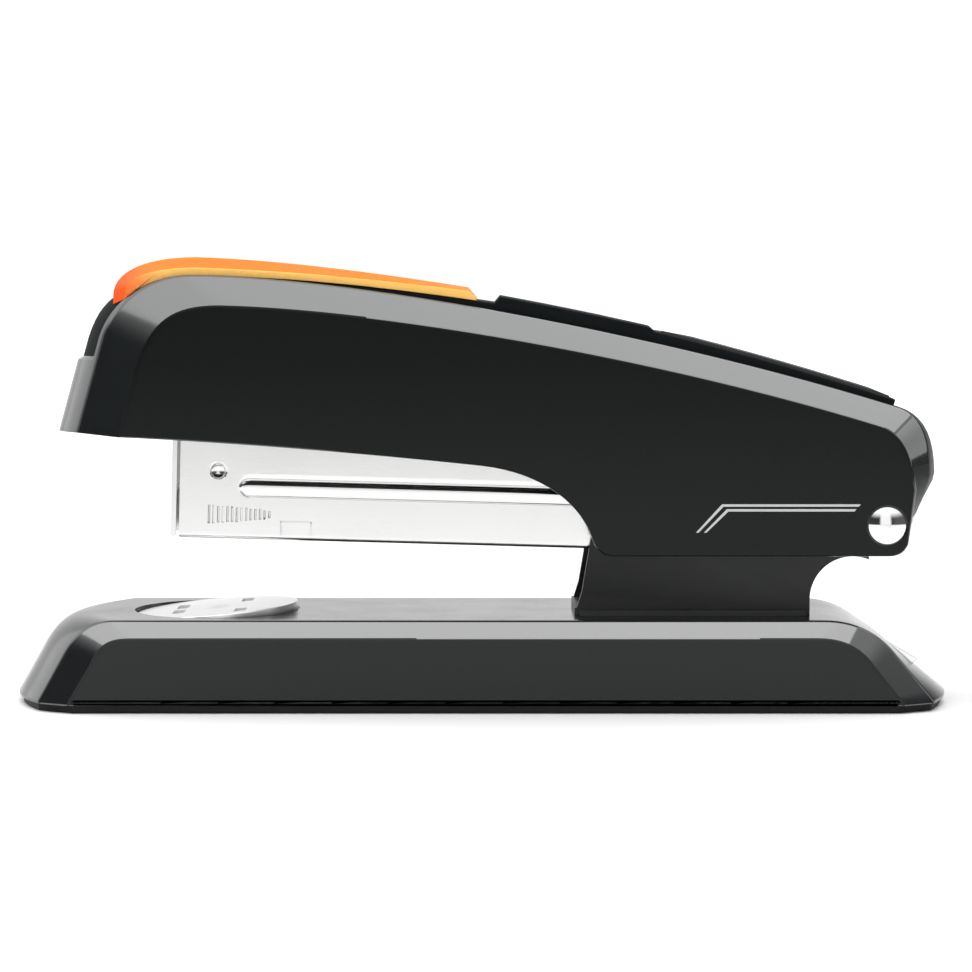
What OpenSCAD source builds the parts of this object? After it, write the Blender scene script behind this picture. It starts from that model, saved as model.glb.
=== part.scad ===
// Full-strip desk stapler: moulded base and head covers over a pressed-steel
// bracket, magazine and head frame that share one hinge pin.
// X runs from the nose (-) to the hinge end (+), Y across, Z up.
// The origin lies on the desk under the middle of the base. Millimetres.

/* [Base] */
// Half the width across the base's side faces
base_side_y = 20.2; // [19.8:0.1:20.6]
// Half the width of the flat top of the base
base_top_y = 17.3; // [16.8:0.1:17.5]
// Height of the base's flat top
base_top_z = 15.15; // [15:0.05:15.3]
// Height of the upper edge of the base's side faces
base_side_z = 12.3; // [12:0.1:12.6]
// Thickness of the sole plate
sole_t = 1.3; // [1.1:0.1:1.4]
// Wall thickness of the base cover
base_wall = 2; // [1.8:0.1:2.2]
// How far the nose of the base bulges forward at the middle
base_nose_bulge = 5.6; // [5:0.1:6]
// How far the foot of the base's rear end bulges back at the middle
base_tail_bulge = 4.1; // [3.6:0.1:4.4]

/* [Head] */
// Half the width across the head's side faces
head_side_y = 16; // [15.8:0.1:16.2]
// Half the width of the top of the head, between the chamfers
head_top_y = 11.5; // [11.3:0.1:11.7]
// Wall thickness of the head cover
head_wall = 2.2; // [2:0.1:2.4]
// How far the nose of the head bulges forward at the middle
head_nose_bulge = 4.6; // [4.2:0.1:5]
// Half the width of the inlay and the press pad
strip_y = 10.4; // [10:0.1:10.5]

/* [Hinge] */
// Distance of the hinge pin behind the origin
pin_x = 67.1; // [66.9:0.1:67.3]
// Height of the hinge pin
pin_z = 30.7; // [30.5:0.1:30.9]
// Radius of the hinge pin's shaft
pin_r = 2; // [1.9:0.05:2.1]
// Radius of the hinge pin's domed heads
pin_head_r = 3.15; // [3:0.05:3.25]
// Radial running clearance on the pin, the rod and the anvil post
running_fit = 0.05; // [0.03:0.01:0.08]

/* [Magazine] */
// Nose-up tilt of the magazine at rest, in degrees
mag_tilt = 1.57; // [1.4:0.01:1.7]
// Half the outer width of the magazine
mag_y = 7.6; // [7.5:0.05:7.65]
// Sheet thickness of the magazine
mag_t = 0.9; // [0.8:0.05:0.95]
// Distance from the hinge to the front of the magazine
mag_len = 119.4; // [119:0.1:119.8]
// Depth of the magazine's floor below the hinge
mag_floor = 5.9; // [5.8:0.1:6]
// Height of the magazine's walls above the hinge
mag_top = 11.2; // [11:0.1:11.4]

/* [Anvil] */
// Distance of the anvil's centre in front of the origin
anvil_x = 45.3; // [45:0.1:45.6]
// Height of the anvil's centre
anvil_z = 15.55; // [15.5:0.05:15.6]
// Radius of the anvil
anvil_r = 13.75; // [13.5:0.05:13.8]
// Nose-down tilt of the anvil, in degrees
anvil_tilt = 4.5; // [4.2:0.1:4.6]

/* [Hidden] */
$fn = 64;
black = "#26292a";
steel = "#d4d6d8";
big = 60;                 // longer than any cut has to be
skin = 0.5;               // height of the vertical lip at the foot of a moulding
fit_gap = 0.3;            // air between parts that move past each other

// Steel frame and bracket
bracket_t = 1.2;
bracket_y = 7.9;          // inner face of the bracket's side plates
bracket_z = base_top_z;
ear_r = 4.5;              // round ends of the plates that hang on the pin
rivet_r = 1.6;
rivet_spots = [[24, 4], [24, -4], [48, 4], [48, -4]];
frame_t = 1;
frame_y = 9.4;            // inner face of the head frame's side plates
slot_y = frame_y + frame_t + 0.1;     // half the opening for it in the head cover
plate_top = 11.5;
plate_t = 1.5;
plate_y = 11;
screw_spots = [[-28, 14.4], [-28, -14.4], [46, 14.4], [46, -14.4]];
screw_r = 1.2;
screw_head_r = 2.6;
leaf_t = 0.6;

// Anvil and its button, measured along the tilted post
anvil_t = 1.6;
post_r = 1.8;
button_r = 5.4;
button_t = 1.6;
button_low = 14.7;        // underside of the button below the anvil's top

// Magazine contents, measured from the hinge pin
rail_y = 5.6;
rail_top = 0.6;
rail_t = 1;
rail_front = -116.5;
rod_r = 1.1;
rod_z = -2.8;
anchor_x = -8;
follower_front = -116.2;
follower_len = 15;
tongue = [-112, -104];
blade_x = -116.9;         // rear face of the driver blade
blade_t = 0.6;
blade_tip = 1.5;
web_z = 25;               // underside of the head frame's web at the nose
// Screw posts of the head cover: place, underside of the screw's head and foot of the post
posts = [[-32, 57.7, 59.3], [22, 53.6, 56.4]];

// ---------- curves ----------
// Points of a cubic curve with control points p, without the first one
function bez(p, n) = [for (i = [1:n]) let (t = i / n, s = 1 - t)
    s * s * s * p[0] + 3 * s * s * t * p[1] + 3 * s * t * t * p[2] + t * t * t * p[3]];
// Points on a straight run from a to b, without the first one
function run(a, b, n) = [for (i = [1:n]) a + (b - a) * i / n];
// Path p moved sideways by d, to its left when d is positive
function beside(p, d) = [for (i = [0:len(p) - 1])
    let (a = p[max(i - 1, 0)], b = p[min(i + 1, len(p) - 1)], v = (b - a) / norm(b - a))
    p[i] + d * [-v[1], v[0]]];
// Share of the full bulge that is left at distance y from the middle
function bulge(y, y_end) = max(0, 1 - y * y / (y_end * y_end));

// ---------- solid builders ----------
// Solid through upright slices: at each y, upper(y) and lower(y) are two chains of
// [x, z] points that run from front to rear and enclose the slice between them.
module loft(ys, upper, lower) {
    n = len(upper(ys[0]));
    rows = len(ys);
    ring = [for (y = ys) let (u = upper(abs(y)), l = lower(abs(y)))
        each concat([for (p = u) [p[0], y, p[1]]], [for (i = [n - 1:-1:0]) [l[i][0], y, l[i][1]]])];
    side = [for (k = [0:rows - 2], i = [0:2 * n - 1])
        let (a = k * 2 * n + i, b = k * 2 * n + (i + 1) % (2 * n), up = 2 * n)
        each [[a, b + up, b], [a, a + up, b + up]]];
    caps = [for (i = [0:n - 2]) let (j = 2 * n - 1 - i, top = (rows - 1) * 2 * n)
        each [[i, j - 1, j], [i, i + 1, j - 1],
              [top + i, top + j, top + j - 1], [top + i, top + j - 1, top + i + 1]]];
    polyhedron(ring, concat(side, caps));
}

// Extrudes an [x, z] outline from y0 to y1
module slab(y0, y1) translate([0, y1, 0]) rotate([90, 0, 0]) linear_extrude(y1 - y0) children();

module both_sides() { children(); mirror([0, 1, 0]) children(); }

// Cylinder along Y through [x, z]
module cross_rod(r, y0, y1, x = 0, z = 0)
    translate([x, y1, z]) rotate([90, 0, 0]) cylinder(r = r, h = y1 - y0);

// Box from one corner to the other
module block(a, b) translate(a) cube(b - a);

// Places a part in the hinge's frame, level with the magazine's floor
module at_hinge() translate([pin_x, 0, pin_z]) rotate([0, mag_tilt, 0]) children();

// Places a part on the anvil's tilted axis, with its top centre at zero
module at_anvil() translate([-anvil_x, 0, anvil_z]) rotate([0, -anvil_tilt, 0]) children();

// Round wire of radius wire wound on radius r, from z = 0 to z = length
module coil(r, wire, length, turns, steps = 9, sides = 6) {
    n = turns * steps;
    pitch = (length - 2 * wire) / n;
    dots = [for (k = [0:n], j = [0:sides - 1])
        let (a = 360 * k / steps, b = 360 * j / sides, d = r + wire * cos(b))
        [d * cos(a), d * sin(a), wire + k * pitch + wire * sin(b)]];
    skin_faces = [for (k = [0:n - 1], j = [0:sides - 1])
        let (a = k * sides + j, b = k * sides + (j + 1) % sides)
        each [[a, b, b + sides], [a, b + sides, a + sides]]];
    ends = [[for (j = [sides - 1:-1:0]) j], [for (j = [0:sides - 1]) n * sides + j]];
    polyhedron(dots, concat(skin_faces, ends));
}

// ---------- base ----------
// Upper chain of the base cover; w insets it for the cavity
function base_upper(y, w = 0) = y > base_top_y - w
    ? let (foot = [-67.9 + w, sole_t + skin], knee = [-64.2 + w, 8 - w / 2], z = base_side_z - w,
           bend = [64.6 - w, 7.4 - w / 2])
        concat([foot, knee],
            bez([knee, [-62.6 + w, 11.6 - w], [-61 + w, z], [-57.5 + w, z]], 6), [[55 - w, z]],
            bez([[55 - w, z], [60 - w, z], [62.6 - w, 10.4 - w], bend], 6), [[69.2 - w, sole_t + skin]])
    : let (f = -base_nose_bulge * bulge(y, base_top_y) + w, r = base_tail_bulge * bulge(y, base_top_y),
           foot = [-73.4 + f, sole_t + skin], knee = [-69.4 + f, 9 - w / 2], z = base_top_z - w,
           bend = [67.8 - w + r * 0.25, 10.3 - w / 2])
        concat([foot, knee],
            bez([knee, [-67 + f, 13.6 - w], [-64.5 + f, z], [-60.5 + f, z]], 6), [[56.5 - w, z]],
            bez([[56.5 - w, z], [61.5 - w, z], [65 - w, 13.4 - w], bend], 6),
            [[74.8 - w + r, sole_t + skin]]);
// Lower chain of the base cover, level at height z under the upper one
function base_lower(y, z, w = 0) = [for (p = base_upper(y, w)) [p[0], z]];

module remover_outline(grow = 0)
    polygon([[57, 9.9 - grow], [66.6, 9.9 - grow], [73, 6.1 - grow], [74.2 + grow, 7.1 - grow],
        [74.2 + grow, 7.1 + grow], [67.2, 11.2 + grow], [57, 11.2 + grow]]);

module base_housing() color(black) {
    anvil_boss_r = anvil_r + 2.2;
    difference() {
        union() {
            difference() {
                loft([-base_side_y, -base_top_y, -12, -8, -4, 0, 4, 8, 12, base_top_y, base_side_y],
                    function(y) base_upper(y), function(y) base_lower(y, sole_t));
                loft([-base_side_y + base_wall, -base_top_y + base_wall, 0, base_top_y - base_wall,
                        base_side_y - base_wall],
                    function(y) base_upper(y, base_wall), function(y) base_lower(y, 0, base_wall));
            }
            translate([-anvil_x, 0, plate_top])
                cylinder(r = anvil_boss_r, h = base_top_z - plate_top - skin);
            for (s = rivet_spots)
                translate([s[0], s[1], plate_top]) cylinder(r = 3.2, h = base_top_z - plate_top - skin);
            for (s = screw_spots)
                translate([s[0], s[1], sole_t]) cylinder(r = 3, h = base_side_z - sole_t);
        }
        at_anvil() translate([0, 0, -anvil_t - running_fit]) cylinder(r = anvil_r + fit_gap, h = big);
        at_anvil() translate([0, 0, -big / 2]) cylinder(r = post_r + fit_gap, h = big);
        for (s = rivet_spots) translate([s[0], s[1], 0]) cylinder(r = rivet_r, h = big);
        for (s = screw_spots) translate([s[0], s[1], 0]) cylinder(r = screw_r, h = 9);
        slab(-4.7, 4.7) remover_outline(0.2);
    }
}

module base_sole() color("#191b1c") {
    inset = 0.7;
    nose = [for (i = [-8:8]) let (y = i * 2) [-73.4 + inset - base_nose_bulge * bulge(y, base_top_y), -y]];
    tail = [for (i = [-8:8]) let (y = i * 2) [74.8 - inset + base_tail_bulge * bulge(y, base_top_y), y]];
    side = base_side_y - inset;
    difference() {
        linear_extrude(sole_t) polygon(concat(nose, [[-67.2, -side], [68.4, -side]], tail,
            [[68.4, side], [-67.2, side]]));
        for (s = screw_spots) translate([s[0], s[1], -1]) cylinder(r = screw_head_r + 0.3, h = big);
        at_anvil() translate([0, 0, -button_low - 3]) cylinder(r = button_r + fit_gap, h = 6);
    }
}

module base_plate() color(steel) difference() {
    block([-61, -plate_y, plate_top - plate_t], [60, plate_y, plate_top]);
    at_anvil() translate([0, 0, -big / 2]) cylinder(r = post_r + fit_gap, h = big);
    for (s = rivet_spots) translate([s[0], s[1], 0]) cylinder(r = rivet_r, h = big);
    slab(-4.7, 4.7) remover_outline(0.2);
}

module base_screws() color(steel) for (s = screw_spots) translate([s[0], s[1], 0.4]) difference() {
    union() {
        cylinder(r = screw_head_r, h = sole_t - 0.4);
        cylinder(r = screw_r, h = 8);
    }
    translate([-2, -0.35, -1]) cube([4, 0.7, 1.4]);
    translate([-0.35, -2, -1]) cube([0.7, 4, 1.4]);
}

module bracket_side() difference() {
    union() {
        polygon([[15.6, bracket_z], [16.8, 19], [18.4, 28.5], [24, 31.5], [64.6, 35.5], [pin_x, pin_z],
            [65, 25.8], [65, bracket_z]]);
        translate([pin_x, pin_z]) circle(r = ear_r);
    }
    translate([62.3, 17.8]) circle(r = 7.2);
    translate([55.1, 0]) square([20, 17.8]);
}

module bracket() color(black) difference() {
    outer = bracket_y + bracket_t;
    union() {
        both_sides() slab(bracket_y, bracket_y + bracket_t) bracket_side();
        block([15.6, -outer, bracket_z], [55.1, outer, bracket_z + bracket_t]);
        both_sides() block([16.4, bracket_y, bracket_z], [54.3, outer + 1.6, bracket_z + 0.9]);
    }
    cross_rod(pin_r, -big, big, pin_x, pin_z);
    for (s = rivet_spots) translate([s[0], s[1], 0]) cylinder(r = rivet_r, h = big);
}

module bracket_rivets() color(steel) for (s = rivet_spots) {
    grip_top = bracket_z + bracket_t + (s[0] > 40 ? leaf_t : 0);
    translate([s[0], s[1], plate_top - plate_t - 0.8]) cylinder(r = 2.7, h = 0.8);
    translate([s[0], s[1], plate_top - plate_t]) cylinder(r = rivet_r, h = grip_top - plate_top + plate_t);
    translate([s[0], s[1], grip_top]) cylinder(r = 2.7, h = 0.8);
}

// Domed rivet head, flat side down
module dome(r, h) {
    ball = (r * r + h * h) / (2 * h);
    rotate_extrude() intersection() {
        translate([0, h - ball]) circle(r = ball);
        square([r, h]);
    }
}

module hinge_pin() color(steel) translate([pin_x, 0, pin_z]) {
    cross_rod(pin_r, -15, 15.6);
    translate([0, -15, 0]) rotate([90, 0, 0]) cylinder(r = pin_head_r, h = 0.7);
    translate([0, -15.7, 0]) rotate([90, 0, 0]) dome(pin_head_r, 0.9);
}

module pin_cap() color(steel) translate([pin_x, 0, pin_z]) difference() {
    translate([0, 15, 0]) rotate([-90, 0, 0]) union() {
        cylinder(r = pin_head_r, h = 0.7);
        translate([0, 0, 0.7]) dome(pin_head_r, 0.9);
    }
    cross_rod(pin_r, -15, 15.6);
}

// Leaf spring that lifts the magazine off the anvil
module magazine_spring() color(steel) difference() {
    z = bracket_z + bracket_t;
    foot = [52, z];
    flat_end = [43, z];
    top = [22, 24.9];
    path = concat([foot], run(foot, flat_end, 2), bez([flat_end, [36, z], [30, 23.6], top], 10));
    slab(-6.2, 6.2) polygon(concat(path, [for (i = [len(path) - 1:-1:0]) beside(path, -leaf_t)[i]]));
    for (s = rivet_spots) translate([s[0], s[1], 0]) cylinder(r = rivet_r, h = 22);
}

module staple_remover() color(steel) slab(-4.5, 4.5) remover_outline();

// ---------- anvil ----------
module anvil_button() color(steel) at_anvil() {
    translate([0, 0, -button_low]) color(black) cylinder(r = button_r, h = button_t);
    translate([0, 0, -button_low + button_t]) cylinder(r = post_r, h = button_low - button_t);
    dome(post_r + 0.6, 0.5);
}

module anvil_spring() color(steel) at_anvil() translate([0, 0, -button_low + button_t])
    coil(2.9, 0.35, 7.1, 5);

module anvil() color("white") at_anvil() difference() {
    translate([0, 0, -anvil_t]) cylinder(r = anvil_r, h = anvil_t, $fn = 96);
    translate([0, 0, -anvil_t - 1]) cylinder(r = post_r + running_fit, h = big);
    // Grooves that curl the staple's legs inward at the front and outward at the rear
    for (g = [[-6.2, 3.7, 5.4], [4.6, 7.6, 4.8]], side = [-1, 1])
        translate([g[0] - 1, side * g[1] - g[2] / 2, -0.7]) cube([2, g[2], 2]);
}

// ---------- magazine ----------
module magazine_side() difference() {
    union() {
        polygon([[-mag_len + 1, -mag_floor], [-2, -mag_floor], [0, 0], [-2, 5.2], [-22, mag_top],
            [-mag_len + 1, mag_top]]);
        circle(r = ear_r);
    }
    circle(r = pin_r + running_fit);
}

module magazine() color(steel) at_hinge() difference() {
    slab(-mag_y, mag_y) magazine_side();
    block([-big * 3, -mag_y + mag_t, -mag_floor + mag_t], [big, mag_y - mag_t, big]);
    block([-14, -mag_y + mag_t, -big], [big, mag_y - mag_t, big]);
    // Slot that lets the staple and the blade out through the floor
    block([-big * 3, -6.5, -big], [rail_front, 6.5, 0]);
    // Long bead pressed into each side and the dimple above it
    both_sides() hull() for (x = [-106.6, -24])
        translate([x, -mag_y + 0.45, 2.9]) rotate([90, 0, 0]) cylinder(r = 1.7, h = 3);
    both_sides() translate([-111.6, -mag_y + 0.5, 5.5]) rotate([90, 0, 0]) cylinder(r = 1.3, h = 3);
    for (x = [-90, -40]) translate([x, 0, -big / 2]) cylinder(r = 1, h = big / 2);
}

module nose_plate() color(steel) at_hinge()
    block([-mag_len, -mag_y, -mag_floor + 0.3], [-mag_len + mag_t, mag_y, mag_top]);

module staple_rail() color(steel) at_hinge() difference() {
    block([rail_front, -rail_y, -mag_floor + mag_t], [-10, rail_y, rail_top]);
    block([-big * 3, -rail_y + rail_t, -big], [big, rail_y - rail_t, rail_top - rail_t]);
    block([tongue[0] - 0.5, -1, -big], [big, 1, big]);
}

module rail_plug() color(steel) at_hinge() difference() {
    inner = rail_y - rail_t;
    block([rail_front, -inner, -mag_floor + mag_t], [tongue[0] - 1, inner, rail_top - rail_t]);
    translate([-115, 0, rod_z]) rotate([0, 90, 0]) cylinder(r = rod_r, h = big);
}

module guide_rod() color(steel) at_hinge() translate([-115, 0, rod_z]) rotate([0, 90, 0])
    cylinder(r = rod_r, h = 115 + anchor_x + 3);

module rod_anchor() color(steel) at_hinge() difference() {
    block([anchor_x, -mag_y + mag_t, -mag_floor + 0.5], [anchor_x + 2, mag_y - mag_t, 1]);
    translate([-115, 0, rod_z]) rotate([0, 90, 0]) cylinder(r = rod_r, h = big * 3);
    // Notch for the spring's lower leg
    block([anchor_x - 1, -4.9, -3.5], [anchor_x + 3, -3.3, -1.7]);
}

// Two-legged rivets that clench the rail to the magazine's floor
module rail_rivets() color(steel) at_hinge() for (x = [-90, -40])
    translate([x, 0, -mag_floor - 0.5]) union() {
        cylinder(r = 1, h = 0.5 + mag_t);
        cylinder(r = 1.8, h = 0.5);
    }

module follower() color(steel) at_hinge() difference() {
    back = follower_front + follower_len;
    union() {
        difference() {
            block([follower_front, -6.3, -mag_floor + mag_t + fit_gap], [back, 6.3, 5.4]);
            block([-big * 3, -rail_y - 0.12, -big], [big, rail_y + 0.12, rail_top + 0.12]);
            block([follower_front + 1, -5.4, 1.8], [big, 5.4, big]);
        }
        // Slider that rides on the rod inside the rail, and its neck through the rail's slot
        block([tongue[0], -2.4, rod_z - 1.9], [tongue[1], 2.4, rod_z + 1.9]);
        block([tongue[0], -0.8, rod_z], [tongue[1], 0.8, 1.5]);
    }
    translate([-115, 0, rod_z]) rotate([0, 90, 0]) cylinder(r = rod_r + running_fit, h = big);
}

module follower_spring() color(steel) at_hinge() translate([tongue[1], 0, rod_z]) rotate([0, 90, 0])
    coil(1.55, 0.22, anchor_x - tongue[1], 28, 8, 5);

// ---------- head ----------
// Top of the head cover between the chamfers, from the nose's foot to the rear
function crest(y, w = 0) = let (f = -head_nose_bulge * bulge(y, head_top_y) + w,
        foot = [-67.4 + f, 46.4], brow = [-63.2 + f, 61 - w / 2], peak = [-48.4, 72.1 - w],
        tail = [68.7 - w, 50.4 - w])
    concat([foot, brow], bez([brow, [-61.9 + f, 66.3 - w], [-56.5 + f, 72.1 - w], peak], 6),
        bez([peak, [-23.4, 72.1 - w], [28.7, 62.8 - w], tail], 12),
        bez([tail, [71.6 - w, 49.3 - w], [73.6 - w, 45.8 - w], [74.7 - w, 38.9]], 6));
// Upper edge of the head's side face
function shoulder(w = 0) = let (foot = [-59.6 + w, 45.8], brow = [-56.6 + w, 57 - w / 2],
        peak = [-43, 66.8 - w], tail = [65.6 - w, 47.1 - w])
    concat([foot, brow], bez([brow, [-54 + w, 64.5 - w], [-50.5 + w, 66.8 - w], peak], 6),
        bez([peak, [-18, 66.3 - w], [28, 58.6 - w], tail], 12),
        bez([tail, [68.4 - w, 46.2 - w], [70.4 - w, 43.6 - w], [71.2 - w, 39]], 6));
// Lower edge of the head cover from start to end
function hem(start, end) =
    concat([start], run(start, [0, 40.6], 7), bez([[0, 40.6], [10.5, 39.4], [16.2, 34], [18, 29.2]], 6),
        bez([[18, 29.2], [18.6, 27], [19.8, 25.6], [21.8, 25.6]], 4), run([21.8, 25.6], [67.4, 25.6], 3),
        bez([[67.4, 25.6], [69.2, 25.6], [70, 26.3], [70.6, 27.6]], 4), [end]);
function head_upper(y, w = 0) = y > head_top_y ? shoulder(w) : crest(y, w);
function head_lower(y) = y > head_top_y ? hem([-59.6, 45.3], [71.6, 36.5])
    : hem([-67.4 - head_nose_bulge * bulge(y, head_top_y), 45.9], [74.4, 37.6]);
// Open underside of the head's cavity, drawn in behind the pin to leave a sloping rear wall
function head_open(y, w) = [for (p = head_upper(y, w)) [min(p[0], 66 + (p[0] - 66) * 0.35), 20]];

// The stretch of the crest that carries the inlay, from the step in the nose back
function spine(y) = let (c = crest(y)) concat([[c[1][0] - 0.5, 59]], [for (i = [1:len(c) - 6]) c[i]]);

module head_housing() color(black) difference() {
    union() {
        difference() {
            loft([-head_side_y, -head_top_y, -8, -4, 0, 4, 8, head_top_y, head_side_y],
                function(y) head_upper(y), function(y) head_lower(y));
            loft([-head_side_y + head_wall, -head_top_y + 0.8, 0, head_top_y - 0.8, head_side_y - head_wall],
                function(y) head_upper(y, head_wall), function(y) head_open(y, head_wall));
        }
        both_sides() cross_rod(4.6, slot_y + 0.05, head_side_y - 1, pin_x, pin_z);
        for (p = posts) intersection() {
            translate([p[0], 0, p[2]]) cylinder(r = 3.4, h = 20);
            loft([-4, 0, 4], function(y) crest(0, 1.3), function(y) [for (c = crest(0, 1.3)) [c[0], 20]]);
        }
    }
    // Trough for the inlay
    loft([-strip_y - 0.1, each strip_rows, strip_y + 0.1], function(y) beside(spine(y), 6),
        function(y) beside(spine(y), -1));
    cross_rod(pin_r + running_fit, -big, big, pin_x, pin_z);
    both_sides() cross_rod(pin_head_r + 0.25, -big, -15, pin_x, pin_z);
    // Opening that lets the rear wall swing past the bracket and the magazine
    block([60, -slot_y, 0], [big * 2, slot_y, pin_z + 1.5]);
    cross_rod(ear_r + 0.4, -slot_y, slot_y, pin_x, pin_z);
    for (p = posts) translate([p[0], 0, p[2] - 1]) cylinder(r = screw_r, h = 4);
}

strip_rows = [-8, -4, 0, 4, 8];       // slices of the inlay, the trough and the pad
// Height of the crest at x, and a level-spaced stretch of it raised from up[0] to up[1]
function crest_z(x, y = head_top_y) = lookup(x, [for (p = crest(y)) if (p[1] > 60 || p[0] > 0) p]);
function stretch(from, to, up, n = 8) = [for (i = [0:n])
    let (x = from + (to - from) * i / n) [x, crest_z(x) + up[0] + (up[1] - up[0]) * i / n]];
// The part of the spine that lies under the pad
function hidden_spine(y) = [for (p = spine(y)) if (p[0] < 2) p];

module top_inlay() color(black) {
    // Thin part that wraps the nose and runs under the pad
    loft([-strip_y, each strip_rows, strip_y], function(y) hidden_spine(y),
        function(y) beside(hidden_spine(y), -0.97));
    // Raised part behind the pad and the lower panel behind that
    for (s = [[-6.5, -0.7, 0, 0], [-0.9, 29, 2.5, 2.3], [28, 68, 1.8, 1]])
        loft([-strip_y, strip_y], function(y) stretch(s[0], s[1], [s[2], s[3]]),
            function(y) stretch(s[0], s[1], [-0.9, -0.9]));
}

// Top line of the press pad; drop lowers it and nip shortens its front along the sides
function pad_top(drop, nip) = let (front = [-61.6 + nip, 68.9], peak = [-47.5, 75.1 - drop],
        back = [-2.6, 70 - drop * 0.5])
    concat([front], bez([front, [-61.4 + nip, 72.6 - drop], [-56.5, 75.1 - drop], peak], 8),
        bez([peak, [-33, 74.6 - drop], [-17, 72.4 - drop * 0.8], back], 10), [[-1.2, 68.4]]);
function pad_side(y) = y > 8 ? pad_top(1.6, 2.4) : pad_top(0, 0);
function pad_bed(y) = [for (p = pad_side(y)) [p[0], min(p[1] - 0.3, crest_z(p[0], y) + 0.05)]];

module press_pad() color("#ff9a1f", 0.9)
    loft([-strip_y, each strip_rows, strip_y], function(y) pad_side(y), function(y) pad_bed(y));

// Side view of the steel frame inside the head
module frame_side() difference() {
    union() {
        polygon([[-124, 14], [-62, 12], [-45, 2], [-30, -3], [-3, -3.3], [0, 0], [1.5, 4.2], [-17, 17.7],
            [-50, web_z - 0.3], [-124, web_z + 1.2]]);
        circle(r = ear_r - 0.1);
    }
    circle(r = pin_r + running_fit);
}

module head_frame() color(steel) at_hinge() difference() {
    slab(-frame_y - frame_t, frame_y + frame_t) frame_side();
    slab(-frame_y, frame_y) polygon([[-130, -20], [20, -20], [20, 12], [-8, 12], [-17, 16.5],
        [-50, web_z - 1.5], [-130, web_z + 0.1]]);
    for (p = posts)
        rotate([0, -mag_tilt, 0]) translate([p[0] - pin_x, 0, 0]) cylinder(r = screw_r, h = big);
    for (y = [-3, 3]) translate([-112, y, 0]) cylinder(r = 1, h = big);
}

module driver_blade() color(steel) at_hinge() difference() {
    union() {
        block([blade_x - blade_t, -6.2, blade_tip], [blade_x, 6.2, web_z - 0.8]);
        slab(-6.2, 6.2) polygon([[blade_x - blade_t, web_z - 1.0], [-107, web_z - 1.22], [-107, web_z - 0.5],
            [blade_x - blade_t, web_z - 0.3]]);
    }
    for (y = [-3, 3]) translate([-112, y, 0]) cylinder(r = 1, h = big);
}

module blade_rivets() color(steel) at_hinge() for (y = [-3, 3]) translate([-112, y, 0]) {
    translate([0, 0, web_z - 2]) cylinder(r = 1.7, h = 0.75);
    translate([0, 0, web_z - 2]) cylinder(r = 1, h = 4);
}

module cover_screws() color(steel) for (p = posts) translate([p[0], 0, p[1] - 1.4]) {
    cylinder(r = 2.4, h = 1.4);
    cylinder(r = screw_r, h = p[2] - p[1] + 4);
}

// Torsion spring on the hinge pin: one leg on the magazine's floor, one under the frame's web
module return_spring() color(steel) at_hinge() {
    translate([0, -4.5, 0]) rotate([-90, 0, 0]) coil(2.75, 0.4, 9, 8);
    translate([-1.4, -4.1, -2.4]) rotate([0, -92, 0]) cylinder(r = 0.4, h = 16);
    translate([-2, 4.1, 2.2]) rotate([0, -48, 0]) cylinder(r = 0.4, h = 15);
}

// Leaf under the head that keeps the staple strip down on its rail
module hold_down() color(steel) at_hinge() {
    path = concat([[-70, 23.2]], bez([[-70, 23.2], [-84, 22.5], [-86, 12], [-98, 8]], 10),
        bez([[-98, 8], [-101, 7], [-102, 7], [-104, 8]], 4));
    slab(-3, 3) polygon(concat(path, [for (i = [len(path) - 1:-1:0]) beside(path, -0.4)[i]]));
}

base_housing();
base_sole();
base_plate();
base_screws();
bracket();
bracket_rivets();
hinge_pin();
pin_cap();
magazine_spring();
staple_remover();
anvil_button();
anvil_spring();
anvil();
magazine();
nose_plate();
staple_rail();
rail_plug();
guide_rod();
rod_anchor();
rail_rivets();
follower();
follower_spring();
head_housing();
top_inlay();
press_pad();
head_frame();
driver_blade();
blade_rivets();
cover_screws();
return_spring();
hold_down();
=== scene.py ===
"""Desk stapler: the visible covers, magazine and pad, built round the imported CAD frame.

Shapes are written in millimetres in the CAD frame (+X hinge end, -X nose, Z up) and scaled once, in mesh().
"""

import math

import bmesh
import bpy
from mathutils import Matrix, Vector


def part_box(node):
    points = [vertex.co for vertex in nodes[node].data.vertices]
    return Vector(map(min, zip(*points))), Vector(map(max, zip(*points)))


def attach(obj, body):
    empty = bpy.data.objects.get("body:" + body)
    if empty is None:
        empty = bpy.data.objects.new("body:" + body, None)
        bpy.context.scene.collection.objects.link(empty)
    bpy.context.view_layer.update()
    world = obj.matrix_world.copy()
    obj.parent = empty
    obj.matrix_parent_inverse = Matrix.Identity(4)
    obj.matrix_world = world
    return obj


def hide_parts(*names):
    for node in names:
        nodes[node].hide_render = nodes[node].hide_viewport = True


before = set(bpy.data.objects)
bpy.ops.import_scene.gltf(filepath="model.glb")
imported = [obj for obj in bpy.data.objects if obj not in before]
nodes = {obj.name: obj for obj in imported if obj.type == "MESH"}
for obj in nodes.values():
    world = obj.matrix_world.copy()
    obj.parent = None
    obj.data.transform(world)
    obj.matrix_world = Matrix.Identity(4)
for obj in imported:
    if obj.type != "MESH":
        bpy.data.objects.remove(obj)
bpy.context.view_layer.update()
MM = 0.001

# Place of the hinge pin, read from the frame
pin_lo, pin_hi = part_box("hinge_pin")
PIN_X = (pin_lo.x + pin_hi.x) / 2 / MM
PIN_Z = (pin_lo.z + pin_hi.z) / 2 / MM

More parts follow.
